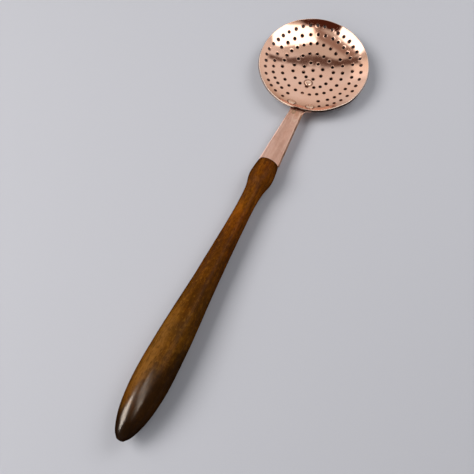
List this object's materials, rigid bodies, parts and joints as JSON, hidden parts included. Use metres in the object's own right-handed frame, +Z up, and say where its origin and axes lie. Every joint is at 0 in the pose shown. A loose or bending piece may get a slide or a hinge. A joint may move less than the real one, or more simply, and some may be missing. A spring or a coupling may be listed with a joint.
{
  "type": "long-handled perforated skimmer",
  "caption": "Shallow dished copper skimmer with rings of drain holes, riveted to a flat tapering strap that runs into a long turned wooden handle.",
  "frame": {"origin": "the middle of the flat foot, the dressed tail of the tongue rivet, that the bowl end stands on", "axes": "+Z up out of the bowl; -Y along the handle, from the bowl towards the butt; +X to the right when looking from the butt towards the bowl"},
  "size_m": [0.1397, 0.5764, 0.042],
  "materials": {
    "polished_copper": "polished, slightly planished copper",
    "satin_copper": "satin copper",
    "rivet_copper": "polished copper",
    "varnished_wood": "dark brown satin varnish"
  },
  "bodies": {
    "root": {"skimmer_bowl": "polished_copper", "handle_strap": "satin_copper", "rim_rivet_left": "rivet_copper", "rim_rivet_right": "rivet_copper", "tongue_rivet": "rivet_copper", "wood_handle": "varnished_wood"}
  },
  "joints": []
}
